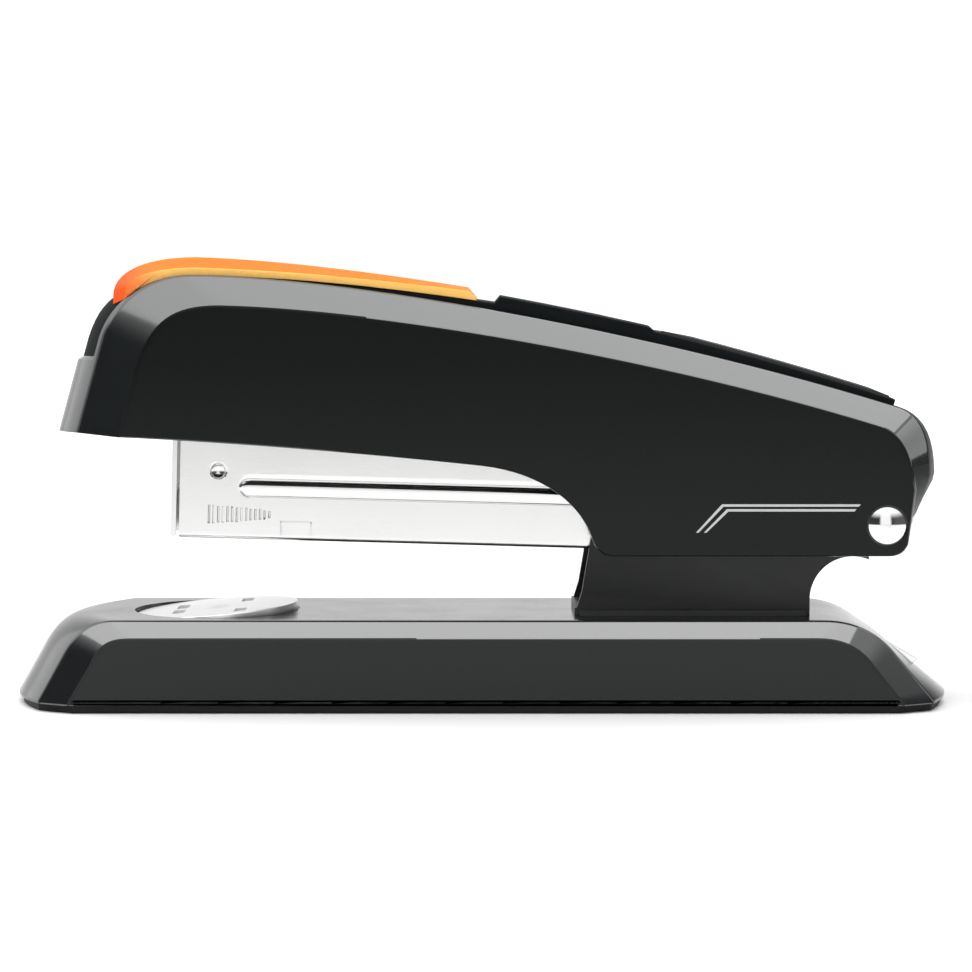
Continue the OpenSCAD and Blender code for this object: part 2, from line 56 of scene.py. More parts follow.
# Sizes and places that the pieces share
MAG_TILT = math.radians(1.57)  # nose-up tilt of the magazine at rest
HEAD_SIDE, HEAD_TOP = 16.0, 11.5  # half widths over the side faces and between the chamfers
HEAD_BULGE, HEAD_TAIL = 4.6, 2.2  # how far nose and rear bulge out in the middle
HEAD_WALL = 2.2
PIN_RECESS_R = 3.45
BASE_SIDE, BASE_TOP = 20.2, 17.3  # half widths, as for the head
NOSE_BULGE, TAIL_BULGE = 5.6, 4.1
SOLE = 1.3
STRIP = 10.4  # half width of the inlay and the pad
STEP = 57.5  # height of the step in the nose where the inlay starts
INLAY_REAR = 69  # x of the inlay's rear end
EAR_R = 4.5  # round ends of the plates that turn on the pin
NOTCH_SIDE = 10.5  # half width of the opening in the head's rear wall
ANVIL = (-45.3, 15.55)  # x and z of the middle of its top
ANVIL_R = 13.75
ANVIL_TILT = math.radians(4.5)


# ---------- curves ----------
def bez(a, b, c, d, n):
    """n points of a cubic curve, without the first one."""
    out = []
    for i in range(1, n + 1):
        t = i / n
        s = 1 - t
        k = (s * s * s, 3 * s * s * t, 3 * s * t * t, t * t * t)
        out.append(tuple(sum(w * p[j] for w, p in zip(k, (a, b, c, d))) for j in (0, 1)))
    return out


def run(a, b, n):
    """n points of a straight stretch, without the first one."""
    return [tuple(a[j] + (b[j] - a[j]) * i / n for j in (0, 1)) for i in range(1, n + 1)]


def beside(path, d):
    """The path moved sideways by d, to its left when d is positive."""
    out = []
    for i, p in enumerate(path):
        a, b = path[max(i - 1, 0)], path[min(i + 1, len(path) - 1)]
        dx, dz = b[0] - a[0], b[1] - a[1]
        size = math.hypot(dx, dz) or 1
        out.append((p[0] - dz / size * d, p[1] + dx / size * d))
    return out


def share(y, end):
    """What is left of a bulge at distance y from the middle."""
    return max(0.0, 1 - y * y / (end * end))


def smooth(t):
    """Eases in and out between 0 and 1."""
    t = min(1.0, max(0.0, t))
    return t * t * (3 - 2 * t)


def between(x, table):
    """Value at x in a short list of (x, value) corners."""
    for (a, u), (b, v) in zip(table, table[1:]):
        if x <= b:
            return u + (v - u) * max(0.0, (x - a) / (b - a))
    return table[-1][1]


# ---------- mesh building ----------
def mesh(name, points, faces):
    """A new object from points in millimetres."""
    data = bpy.data.meshes.new(name)
    data.from_pydata([tuple(c * MM for c in p) for p in points], [], faces)
    data.validate()
    work = bmesh.new()
    work.from_mesh(data)
    bmesh.ops.remove_doubles(work, verts=work.verts, dist=1e-7)
    bmesh.ops.recalc_face_normals(work, faces=work.faces)
    work.to_mesh(data)
    work.free()
    obj = bpy.data.objects.new(name, data)
    bpy.context.scene.collection.objects.link(obj)
    return obj


def skin(name, rings, caps=True):
    """A solid through closed rings of equal length."""
    m = len(rings[0])
    faces = [
        (k * m + i, k * m + (i + 1) % m, (k + 1) * m + (i + 1) % m, (k + 1) * m + i)
        for k in range(len(rings) - 1)
        for i in range(m)
    ]
    if caps:
        faces += [tuple(range(m)), tuple(range((len(rings) - 1) * m, len(rings) * m))]
    return mesh(name, [p for r in rings for p in r], faces)


def soften(rings, i, reach, n=3):
    """Ring i turned into a small round between its neighbours."""
    fillet = [[] for _ in range(n + 1)]
    for q, p, r in zip(rings[i - 1], rings[i], rings[i + 1]):
        p, q, r = Vector(p), Vector(q), Vector(r)
        a = p + (q - p) * min(0.45, reach / max((q - p).length, 1e-6))
        b = p + (r - p) * min(0.45, reach / max((r - p).length, 1e-6))
        for k in range(n + 1):
            t = k / n
            fillet[k].append(tuple(a * (1 - t) ** 2 + p * (2 * t * (1 - t)) + b * t * t))
    return rings[:i] + fillet + rings[i + 1 :]


def loop(y, upper, lower):
    """A closed ring at y from two chains that both run from front to rear."""
    return [(x, y, z) for x, z in upper] + [(x, y, z) for x, z in reversed(lower)]


def inset(ring, d):
    """A flat ring moved inward by d; it runs rearward along its top."""
    out = []
    for i, p in enumerate(ring):
        a, b = ring[i - 1], ring[(i + 1) % len(ring)]
        dx, dz = b[0] - a[0], b[2] - a[2]
        size = math.hypot(dx, dz) or 1
        out.append((p[0] + dz / size * d, p[1], p[2] - dx / size * d))
    return out


def spread(end, n):
    """Slices from -end to end."""
    return [end * (2 * i / n - 1) for i in range(n + 1)]


def plate(name, outline, y0, y1):
    """A flat outline of [x, z] points extruded across Y."""
    return skin(name, [[(x, y, z) for x, z in outline] for y in (y0, y1)])


def rod(name, radius, start, end, n=64):
    """A plain round cutter between two points."""
    a, b = Vector(start), Vector(end)
    turn = (b - a).to_track_quat("Z", "Y")
    rings = [
        [
            tuple(c + turn @ Vector((radius * math.cos(t), radius * math.sin(t), 0)))
            for t in (2 * math.pi * k / n for k in range(n))
        ]
        for c in (a, b)
    ]
    return skin(name, rings)


def carve(obj, cutter, operation="DIFFERENCE"):
    """Applies an exact boolean and removes the cutter."""
    step = obj.modifiers.new("carve", "BOOLEAN")
    step.operation = operation
    step.solver = "EXACT"
    step.object = cutter
    settle(obj)
    bpy.data.objects.remove(cutter)
    return obj


def settle(obj):
    """Turns an object's modifiers into its mesh."""
    graph = bpy.context.evaluated_depsgraph_get()
    made = bpy.data.meshes.new_from_object(obj.evaluated_get(graph))
    obj.modifiers.clear()
    obj.data = made


def finish_mesh(obj, angle=28):
    """Smooth shading that keeps flat faces flat."""
    obj.data.shade_smooth()
    obj.data.set_sharp_from_angle(angle=math.radians(angle))
    level = obj.modifiers.new("level", "WEIGHTED_NORMAL")
    level.keep_sharp = True
    return obj


def paint(obj, *materials):
    """Gives an object just these materials."""
    obj.data.materials.clear()
    for m in materials:
        obj.data.materials.append(m)
    return obj


# ---------- materials ----------
def surface(
    name,
    colour,
    rough,
    metal=0.0,
    grain=0.3,
    bump=0.05,
    rough_swing=0.06,
    tint=0.12,
    wear=0.0,
    wear_colour=(0.5, 0.5, 0.5),
    stretch=(1, 1, 1),
    spec=0.5,
    coat=0.0,
    glow=0.0,
    glow_reach=0.004,
    fade=None,
):
    """A procedural surface: fine grain of that size in mm, broad smudges, and paler worn edges.

    fade = (axis, start, end, colour) turns the colour into another one along an axis, in mm; the materials
    here use it to paint shade and light into the colour.
    """
    mat = bpy.data.materials.new(name)
    mat.use_nodes = True
    tree = mat.node_tree
    shader = tree.nodes["Principled BSDF"]

    def node(kind, **values):
        made = tree.nodes.new(kind)
        for key, value in values.items():
            if hasattr(made, key):
                setattr(made, key, value)
            else:
                made.inputs[key].default_value = value
        return made

    link = tree.links.new
    coord = node("ShaderNodeTexCoord")
    place = node("ShaderNodeMapping", Scale=stretch)
    link(coord.outputs["Object"], place.inputs["Vector"])
    fine = node("ShaderNodeTexNoise", Scale=1 / (grain * MM), Detail=3.0, Roughness=0.6)
    broad = node("ShaderNodeTexNoise", Scale=90.0, Detail=4.0, Roughness=0.55)
    link(place.outputs["Vector"], fine.inputs["Vector"])
    link(coord.outputs["Object"], broad.inputs["Vector"])

    shades = node("ShaderNodeMix", data_type="RGBA")
    low = [c * (1 - tint) for c in colour] + [1]
    high = [min(1, c * (1 + tint)) for c in colour] + [1]
    shades.inputs["A"].default_value = low
    shades.inputs["B"].default_value = high
    both = node("ShaderNodeMath", operation="MULTIPLY_ADD")
    both.inputs[1].default_value = 0.5
    half = node("ShaderNodeMath", operation="MULTIPLY")
    half.inputs[1].default_value = 0.5
    link(broad.outputs["Fac"], half.inputs[0])
    link(fine.outputs["Fac"], both.inputs[0])
    link(half.outputs[0], both.inputs[2])
    link(both.outputs[0], shades.inputs["Factor"])
    colour_out = shades.outputs["Result"]
    if fade:
        axis, start, end, other = fade
        parts = node("ShaderNodeSeparateXYZ")
        link(coord.outputs["Object"], parts.inputs["Vector"])
        along = node("ShaderNodeMapRange", interpolation_type="SMOOTHSTEP")
        along.inputs["From Min"].default_value = start * MM
        along.inputs["From Max"].default_value = end * MM
        link(parts.outputs[axis], along.inputs["Value"])
        faded = node("ShaderNodeMix", data_type="RGBA")
        faded.inputs["B"].default_value = (*other, 1)
        link(along.outputs["Result"], faded.inputs["Factor"])
        link(colour_out, faded.inputs["A"])
        colour_out = faded.outputs["Result"]
    if wear:
        shape = node("ShaderNodeNewGeometry")
        edge = node("ShaderNodeMapRange")
        edge.inputs["From Min"].default_value = 0.52
        edge.inputs["From Max"].default_value = 0.6
        edge.inputs["To Max"].default_value = wear
        link(shape.outputs["Pointiness"], edge.inputs["Value"])
        worn = node("ShaderNodeMix", data_type="RGBA")
        worn.inputs["B"].default_value = (*wear_colour, 1)
        link(edge.outputs["Result"], worn.inputs["Factor"])
        link(colour_out, worn.inputs["A"])
        colour_out = worn.outputs["Result"]
    link(colour_out, shader.inputs["Base Color"])

    swing = node("ShaderNodeMapRange")
    swing.inputs["From Min"].default_value = 0.35
    swing.inputs["From Max"].default_value = 0.65
    swing.inputs["To Min"].default_value = max(0.02, rough - rough_swing)
    swing.inputs["To Max"].default_value = rough + rough_swing
    link(both.outputs[0], swing.inputs["Value"])
    link(swing.outputs["Result"], shader.inputs["Roughness"])

    lift = node("ShaderNodeBump", Strength=bump)
    lift.inputs["Distance"].default_value = 0.1 * MM
    link(fine.outputs["Fac"], lift.inputs["Height"])
    link(lift.outputs["Normal"], shader.inputs["Normal"])
    shader.inputs["Metallic"].default_value = metal
    shader.inputs["Specular IOR Level"].default_value = spec
    shader.inputs["Coat Weight"].default_value = coat
    if glow:
        shader.inputs["Subsurface Weight"].default_value = glow
        shader.inputs["Subsurface Radius"].default_value = (1.0, 0.45, 0.1)
        shader.inputs["Subsurface Scale"].default_value = glow_reach
    return mat


CHARCOAL = (0.0080, 0.0095, 0.0100)
# Satin black of the head's sides with painted shade: the colour darkens from z 26 mm to z 66 mm. This stands
# in for light from the floor falling on the lower part of the sides.
satin_painted_shade = surface(
    "satin_black_painted_shade", (0.0125, 0.0145, 0.0145), 0.40, grain=0.22, bump=0.10, rough_swing=0.05, spec=0.11,
    fade=("Z", 26, 66, (0.0030, 0.0040, 0.0040)),
)
satin_base = surface(
    "satin_base", (0.0190, 0.0215, 0.0215), 0.42, grain=0.22, bump=0.10, rough_swing=0.05, spec=0.2
)
sheen = surface("sheen_black", CHARCOAL, 0.17, grain=0.25, bump=0.05, rough_swing=0.05, spec=0.6)
gloss = surface(
    "gloss_black", CHARCOAL, 0.10, grain=1.2, bump=0.01, rough_swing=0.02, tint=0.05, spec=1.0, coat=0.15
)
gloss_base = surface(
    "gloss_base", CHARCOAL, 0.10, grain=1.2, bump=0.01, rough_swing=0.02, tint=0.05, spec=1.0, coat=1.0
)
inlay_black = surface("inlay_black", CHARCOAL, 0.55, grain=0.2, bump=0.12, spec=0.02)
panel_black = surface("panel_black", (0.013, 0.015, 0.015), 0.16, grain=0.5, bump=0.02)
sole_rubber = surface("sole_rubber", (0.012, 0.013, 0.013), 0.62, grain=0.35, bump=0.2, spec=0.25)
paint_black = surface(
    "bracket_paint", (0.0050, 0.0060, 0.0060), 0.36, grain=0.35, bump=0.12, spec=0.08,
    wear=0.25, wear_colour=(0.20, 0.20, 0.20),
)
nickel = surface(
    "nickel_sheet", (0.75, 0.75, 0.745), 0.15, metal=1.0, grain=0.35, bump=0.06, rough_swing=0.05,
    tint=0.03, stretch=(0.35, 1, 1),
)
chrome = surface(
    "chrome", (0.93, 0.93, 0.93), 0.06, metal=1.0, grain=1.0, bump=0.01, rough_swing=0.02, tint=0.02
)
anvil_metal = surface(
    "anvil_plate", (0.80, 0.80, 0.81), 0.34, metal=0.85, grain=0.3, bump=0.08, tint=0.02, wear=0.2,
    wear_colour=(1, 1, 1),
)
spring_steel = surface(
    "spring_steel", (0.50, 0.50, 0.49), 0.28, metal=1.0, grain=0.4, bump=0.05, tint=0.1
)
frame_steel = surface(
    "frame_steel", (0.62, 0.62, 0.61), 0.36, metal=1.0, grain=0.5, bump=0.08, tint=0.08,
    stretch=(0.3, 1, 1), wear=0.2, wear_colour=(0.85, 0.85, 0.85),
)
# Painted light on the pad: the side faces get a paler, yellower copy of the top's orange. Both colours fade
# to a deeper red toward the nose. These stand in for light passing through the translucent plastic.
orange_painted_fade = surface(
    "orange_pad", (0.88, 0.150, 0.0035), 0.32, grain=0.6, bump=0.02, rough_swing=0.05, tint=0.04,
    spec=0.12, glow=0.2, glow_reach=0.002, fade=("X", -54, -62, (0.9, 0.075, 0.005)),
)
orange_side_lit = surface(
    "orange_side_lit", (1.0, 0.55, 0.13), 0.25, grain=0.6, bump=0.02, rough_swing=0.05, tint=0.04,
    spec=0.4, glow=0.35, glow_reach=0.003, fade=("X", -52, -61, (1.0, 0.12, 0.008)),
)
stripe_silver = surface(
    "stripe_silver", (0.55, 0.55, 0.55), 0.35, metal=0.6, grain=0.3, bump=0.03, tint=0.1
)


FLAT, POLISHED, SHEEN = 0, 1, 2  # material slots of a cover
SLANT = (0.2, 0.97)  # sideways part of the normal on chamfers and rounded edges
HEEL_X, BACK_X = 60, 68.8  # where the head's heel and its rear face begin


def zones(cover, top, side, flat, polished, dull_heel=0.0):
    """Fine-grained side faces, polished chamfers from y = top to side, and a sheen between them.

    The rounds along the side faces' lower edges are polished too.
    With dull_heel the rear face is fine-grained, and so are the rear chamfers below that height.
    """
    paint(cover, flat, polished, sheen)
    slack = 0.2
    for face in cover.data.polygons:
        x, y, z = face.center.x / MM, abs(face.center.y) / MM, face.center.z / MM
        slanted = SLANT[0] < abs(face.normal.y) < SLANT[1]
        chamfer = slanted and top + slack < y < side - slack
        under = face.normal.z < 0 or (x > HEEL_X and z < dull_heel and y > top)
        lower_round = slanted and under and y > side - 0.6
        dull_back = dull_heel and x > BACK_X and y < top + slack
        if lower_round or (chamfer and not under):
            face.material_index = POLISHED
        else:
            face.material_index = FLAT if chamfer or dull_back or y > side - 0.3 else SHEEN


# ---------- head ----------
def crest(y, w=0.0):
    """Line over the head at y between the chamfers, from the nose's foot to under the pin."""
    f = -HEAD_BULGE * share(y, HEAD_TOP) + w
    r = HEAD_TAIL * share(y, HEAD_TOP) - w
    foot, brow = (-67.4 + f, 45.9), (-63.2 + f, 61 - w / 2)
    peak, tail, rear = (-48.4, 72.1 - w), (68.7 - w, 50.4 - w), (74.7 + r, 38.9)
    return (
        [foot]
        + run(foot, brow, 5)
        + bez(brow, (-61.9 + f, 66.3 - w), (-56.5 + f, 72.1 - w), peak, 16)
        + bez(peak, (-23.4, 72.1 - w), (28.7, 62.8 - w), tail, 26)
        + bez(tail, (72.6 + r * 0.8, 49.5 - w), (74.6 + r, 46 - w), rear, 10)
    )


def shoulder(w=0.0):
    """Upper edge of the head's side face."""
    foot, brow = (-59.6 + w, 45.3), (-56.6 + w, 57 - w / 2)
    peak, tail, rear = (-43, 66.8 - w), (65.6 - w, 47.1 - w), (71.2 - w, 39)
    return (
        [foot]
        + run(foot, brow, 5)
        + bez(brow, (-54 + w, 64.5 - w), (-50.5 + w, 66.8 - w), peak, 16)
        + bez(peak, (-18, 66.3 - w), (28, 58.6 - w), tail, 26)
        + bez(tail, (68.4 - w, 46.2 - w), (70.4 - w, 43.6 - w), rear, 10)
    )


def heel(corner):
    """Rear of the head from the chamfer's end down to its rounded foot."""
    return (
        [corner]
        + run(corner, (70.6, 27.6), 4)
        + bez((70.6, 27.6), (70, 26.3), (69.2, 25.6), (67.4, 25.6), 6)
    )


def hem(foot):
    """Lower edge of the head cover, from the foot of its nose to its heel."""
    bend, knee, flat = (0, 40.6), (18, 29.2), (21.8, 25.6)
    return (
        [foot]
        + bez(foot, (foot[0] + 20, 44.4), (-20, 42.7), bend, 16)
        + bez(bend, (10.5, 39.4), (16.2, 34), knee, 16)
        + bez(knee, (18.6, 27), (19.8, 25.6), flat, 8)
        + run(flat, (67.4, 25.6), 14)[:-1]
    )


def head_ring(y):
    """Outline of the head at y: with the chamfer's foot on the sides, with the crest between them."""
    edge = abs(y) > HEAD_TOP
    behind = (74.4 + HEAD_TAIL * share(y, HEAD_TOP), 37.6)
    top = shoulder() + heel((71.6, 36.5)) if edge else crest(y) + heel(behind)
    return loop(y, top, hem(top[0])[1:])


def cavity_ring(y, w):
    """Slice of the hollow at y: the head's outline moved in by w, its lower rear end drawn forward."""
    top = shoulder(w) if abs(y) > HEAD_TOP else crest(y, w)
    rear, pull, low = 66, 0.35, 20
    return loop(y, top, [(min(x, rear + (x - rear) * pull), low) for x, _ in top])


def carries_inlay(point):
    """Whether a point of the crest lies between the step in the nose and the inlay's rear end."""
    x, z = point
    return (x > 0 or z > STEP) and x < INLAY_REAR


def spine(y):
    """Stretch of the crest that carries the inlay, from the step in the nose to the rear."""
    return [p for p in crest(y) if carries_inlay(p)]


def trough_ring(y):
    """Cutter for the inlay's bed; its front end slants back into the nose."""
    line = spine(y)
    above, below = 5.0, 1.5
    upper, lower = beside(line, above), beside(line, -below)
    dx, dz = line[1][0] - line[0][0], line[1][1] - line[0][1]
    size = math.hypot(dx, dz)
    upper[0] = (upper[0][0] - dx / size * above, upper[0][1] - dz / size * above)
    lower[0] = (lower[0][0] + dx / size * below, lower[0][1] + dz / size * below)
    return loop(y, upper, lower)


def notch_outline():
    """Opening in the rear wall with an arch over the plates that turn on the pin."""
    low, top, steps = 10.0, 32.2, 24
    r = EAR_R + 0.43
    start = math.asin((top - PIN_Z) / r)
    sweep = math.pi - 2 * start
    arch = [math.pi - start - sweep * k / steps for k in range(steps + 1)]
    return (
        [(60, low), (60, top)]
        + [(PIN_X + r * math.cos(a), PIN_Z + r * math.sin(a)) for a in arch]
        + [(120, top), (120, low)]
    )


def head_cover():
    """Hollow cover of the head, with the inlay's bed, the rear opening and the pin's recesses."""
    rows = spread(HEAD_TOP, 20)
    rings = [head_ring(y) for y in [-HEAD_SIDE, *rows, HEAD_SIDE]]
    rings = [inset(rings[0], 1.2), *rings, inset(rings[-1], 1.2)]
    for at in (len(rings) - 2, len(rings) - 3, 2, 1):
        rings = soften(rings, at, 0.5)
    cover = skin("head_cover", rings)
    hollow = [cavity_ring(y, HEAD_WALL) for y in (-13.8, -10.7, -5, 0, 5, 10.7, 13.8)]
    carve(cover, skin("hollow", hollow))
    carve(cover, skin("trough", [trough_ring(y) for y in spread(STRIP + 0.15, 12)]))
    carve(cover, plate("notch", notch_outline(), -NOTCH_SIDE, NOTCH_SIDE))
    for side in (-1, 1):
        start, end = ((PIN_X, side * y, PIN_Z) for y in (15, 20))
        carve(cover, rod("recess", PIN_RECESS_R, start, end))
    zones(cover, HEAD_TOP, HEAD_SIDE, satin_painted_shade, gloss, 40)
    finish_mesh(cover)
    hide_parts("head_housing")
    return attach(cover, "head")


def strip_stations(rows):
    """Cross-sections of the inlay along the crest: each row is (place along the crest, lift)."""
    middle = crest(HEAD_TOP)
    lean = beside(middle, 1)
    rings = []
    for place, lift in rows:
        nx, nz = (between_points(lean, place)[j] - between_points(middle, place)[j] for j in (0, 1))
        section = [(-STRIP, -1.4), (-STRIP, lift - 0.45), (-STRIP + 0.15, lift - 0.12)]
        section += [(y, lift + 0.25 * share(y, STRIP)) for y in spread(STRIP - 0.5, 12)]
        section += [(STRIP - 0.15, lift - 0.12), (STRIP, lift - 0.45), (STRIP, -1.4)]
        ring = []
        for y, off in section:
            x, z = between_points(crest(y), place)
            ring.append((x + nx * off, y, z + nz * off))
        rings.append(ring)
    return rings


def between_points(line, place):
    """Point of a line at a whole or broken index."""
    i = min(int(place), len(line) - 2)
    t = place - i
    return tuple(line[i][j] * (1 - t) + line[i + 1][j] * t for j in (0, 1))


def place_of(x):
    """Index along the crest, whole or broken, where its rearward part passes x."""
    line = crest(HEAD_TOP)
    for i in range(len(line) - 1):
        if line[i][1] > STEP - 8 and line[i][0] <= x < line[i + 1][0]:
            return i + (x - line[i][0]) / (line[i + 1][0] - line[i][0])


# Height of the inlay over the crest: it comes out from under the pad, steps up, and steps down again
PAD_END, STEP_LOW, STEP_HIGH = -0.9, 1.9, 2.6
BACK_HIGH, BACK_LOW = 27.5, 28.5
STRIP_LIFT = [
    (-45, -0.2), (PAD_END, 1.0), (STEP_LOW, 1.1), (STEP_HIGH, 2.35), (BACK_HIGH, 2.3), (BACK_LOW, 1.75),
    (68, 1),
]


def top_strip():
    """Black inlay along the top and nose of the head."""
    middle = crest(HEAD_TOP)
    keep = [i for i, p in enumerate(middle) if carries_inlay(p)]
    keep = sorted(keep + [place_of(x) for x in (STEP_LOW, STEP_HIGH, BACK_HIGH, BACK_LOW)])
    rows = []
    for place in keep:
        x, z = between_points(middle, place)
        lift = -1.0 + 0.8 * smooth((z - 62) / 8) if x < -45 else between(x, STRIP_LIFT)
        rows.append((place, lift))
    strip = skin("top_strip", strip_stations(rows))
    paint(strip, inlay_black)
    finish_mesh(strip, 35)
    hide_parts("top_inlay")
    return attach(strip, "head")


def strip_panel():
    """Polished panel let into the rear of the strip."""
    front, side, edge, foot = 28, 9, 0.2, 0.4
    middle = [p for p in crest(HEAD_TOP) if front < p[0] < INLAY_REAR]
    a, b = middle[-2:]
    middle[-1] = (b[0] * 0.8 + a[0] * 0.2, b[1] * 0.8 + a[1] * 0.2)
    rings = []
    count = len(middle)
    for k, (x, z) in enumerate(middle):
        a, b = middle[max(k - 1, 0)], middle[min(k + 1, count - 1)]
        size = math.hypot(b[0] - a[0], b[1] - a[1])
        nx, nz = -(b[1] - a[1]) / size, (b[0] - a[0]) / size
        lift = between(x, [(front, 2.45), (67, 1.65)])
        end = k in (0, count - 1)
        section = [(-side, foot), (-side, lift - edge), (-side + edge, lift)]
        section += [(-y, off) for y, off in reversed(section)]
        ring = []
        for y, off in section:
            off = min(off, lift - 0.3) if end else off
            ring.append((x + nx * off, y, z + nz * off))
        rings.append(ring)
    panel = skin("strip_panel", rings)
    paint(panel, panel_black)
    finish_mesh(panel, 35)
    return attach(panel, "head")


def crest_height(x, y):
    """Height of the crest over the point (x, y)."""
    line = [p for p in crest(y) if p[1] > 60 or p[0] > 0]
    return between(x, line)


def pad_line(drop, nip):
    """Upper line of the pad, its top lowered by drop and its front drawn back by nip."""
    front, peak, back = (-61.6 + nip, 68.9 + nip * 0.45), (-47.5, 75.1 - drop), (-2.3, 70.1 - drop * 0.35)
    return (
        [front]
        + bez(front, (-61.4 + nip, 72.6 - drop), (-56.5, 75.1 - drop), peak, 14)
        + bez(peak, (-33, 74.6 - drop), (-17, 72.4 - drop * 0.55), back, 16)
        + [(PAD_END, 68.45)]
    )


def pad():
    """Orange press pad on the front of the inlay."""
    rings = []
    for y in [-STRIP, -8.2, -6, -3, 0, 3, 6, 8.2, STRIP]:
        line = pad_line(1.8, 2.4) if abs(y) > 9 else pad_line(0, 0)
        bed = [(x, min(z - 0.1, crest_height(x, abs(y)) + between(x, STRIP_LIFT))) for x, z in line]
        rings.append(loop(y, line, bed))
    rings = [inset(rings[0], 0.12), *rings, inset(rings[-1], 0.12)]
    for at in (len(rings) - 2, len(rings) - 3, 2, 1):
        rings = soften(rings, at, 0.12)
    piece = skin("pad", rings)
    paint(piece, orange_painted_fade, orange_side_lit)
    # Side faces take the paler copy of the orange: painted light.
    for face in piece.data.polygons:
        face.material_index = 1 if abs(face.normal.y) > 0.75 else 0
    finish_mesh(piece, 35)
    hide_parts("press_pad")
    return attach(piece, "head")


def stripes():
    """Two plain printed lines on each side of the head, bent down at their front ends."""
    half, low = 0.2, 29.6
    # (x of the bend, x of the foot), height and rear end of each line
    lines = (((39.8, 35.6), 34.1, 62.6), ((40.6, 36.9), 33.3, 61.9))
    for side, word in ((-1, "near"), (1, "far")):
        for k, (bend, top, end) in enumerate(lines):
            upper = [(bend[1] - half, low), (bend[0] - half * 0.6, top + half), (end, top + half)]
            lower = [(bend[1] + half * 1.2, low), (bend[0] + half * 0.7, top - half), (end - 0.3, top - half)]
            y = side * (HEAD_SIDE - 0.02)
            rings = [loop(y, upper, lower), loop(y + side * 0.05, upper, lower)]
            line = skin(f"stripe_{word}_{k + 1}", rings)
            paint(line, stripe_silver)
            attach(line, "head")


# ---------- base ----------
def base_line(y, w=0.0):
    """Line over the base cover at y, from the foot of its nose to the foot of its tail."""
    if abs(y) > BASE_TOP - w:
        foot, knee, z = (-67.9 + w, SOLE + 0.5), (-64.2 + w, 8 - w / 2), 12.3 - w
        bend, rear = (64.6 - w, 7.4 - w / 2), (69.2 - w, SOLE + 0.5)
        arc = ((-62.6 + w, 11.6 - w), (-61 + w, z), (-57.5 + w, z))
        turn = ((55 - w, z), (60 - w, z), (62.6 - w, 10.4 - w))
    else:
        f = -NOSE_BULGE * share(y, BASE_TOP) + w
        r = TAIL_BULGE * share(y, BASE_TOP)
        foot, knee, z = (-73.4 + f, SOLE + 0.5), (-69.4 + f, 9 - w / 2), 15.15 - w
        bend, rear = (67.8 - w + r * 0.25, 10.3 - w / 2), (74.8 - w + r, SOLE + 0.5)
        arc = ((-67 + f, 13.6 - w), (-64.5 + f, z), (-60.5 + f, z))
        turn = ((56.5 - w, z), (61.5 - w, z), (65 - w, 13.4 - w))
    return (
        [foot]
        + run(foot, knee, 4)
        + bez(knee, *arc, 14)
        + run(arc[2], turn[0], 12)
        + bez(*turn, bend, 12)
        + run(bend, rear, 5)
    )


def base_cover():
    """Hollow cover of the base, with the anvil's seat and the staple remover's slot."""
    boss_wall, boss_low, boss_high = 2.2, 11.5, 14.6
    seat_depth, post_hole_r = 1.65, 2.1
    rings = []
    for y in [-BASE_SIDE, *spread(BASE_TOP, 22), BASE_SIDE]:
        line = base_line(y)
        rings.append(loop(y, line, [(x, SOLE) for x, _ in line]))
    rings = [inset(rings[0], 1), *rings, inset(rings[-1], 1)]
    for at in (len(rings) - 2, len(rings) - 3, 2, 1):
        rings = soften(rings, at, 0.4)
    cover = skin("base_cover", rings)
    wall = 2.0
    hollow = []
    for y in (-BASE_SIDE + wall, -BASE_TOP + wall, -7, 0, 7, BASE_TOP - wall, BASE_SIDE - wall):
        line = base_line(y, wall)
        hollow.append(loop(y, line, [(x, 0) for x, _ in line]))
    carve(cover, skin("hollow", hollow))
    boss = rod("boss", ANVIL_R + boss_wall, (ANVIL[0], 0, boss_low), (ANVIL[0], 0, boss_high), 96)
    carve(cover, boss, "UNION")
    axis = Vector((math.sin(-ANVIL_TILT), 0, math.cos(ANVIL_TILT)))
    top = Vector((ANVIL[0], 0, ANVIL[1]))
    seat = rod("seat", ANVIL_R + 0.3, tuple(top - axis * seat_depth), tuple(top + axis * 20), 96)
    carve(cover, seat)
    carve(cover, rod("post_hole", post_hole_r, tuple(top - axis * 12), tuple(top + axis * 5)))
    tab = [(57, 9.7), (66.6, 9.7), (73, 5.9), (74.5, 7), (74.5, 7.3), (67.2, 11.4), (57, 11.4)]
    carve(cover, plate("tab_slot", tab, -4.7, 4.7))
    zones(cover, BASE_TOP, BASE_SIDE, satin_base, gloss_base)
    finish_mesh(cover)
    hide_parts("base_housing")
    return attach(cover, "base")


# ---------- magazine, in the hinge's frame ----------
MAG_Y, MAG_T = 7.6, 0.9
MAG_FRONT, MAG_REAR = -118.0, -21.0
MAG_LOW, MAG_HIGH = -5.9, 11.2
BEAD_Z, BEAD_FRONT, BEAD_REAR = 2.9, -106.2, -23.0
BEAD_PROFILE = [
    (-1.9, 0), (-1.7, 0), (-1.6, -0.16), (-1.48, -0.16), (-1.38, 0), (-0.9, 0.14), (-0.2, 0.21),
    (0.2, 0.22), (0.42, 0.17), (0.6, 0.0), (0.8, -0.16), (1.0, -0.32), (1.2, -0.4), (1.36, -0.34),
    (1.5, -0.14), (1.7, -0.04), (2.3, 0),
]
RIBS = [-113.0 + 0.78 * k for k in range(14)]
RIB_HALF = 0.2
RIB_DEPTH = 0.42
SIGN = (-100.9, -95.8, -4.2, -2.7)  # staple sign: front, rear, foot and top
SIGN_LINE, SIGN_DEPTH = 0.11, 0.1
DIMPLE_X, DIMPLE_Z, DIMPLE_R, DIMPLE_DEPTH = -111.6, 5.5, 1.35, 0.75


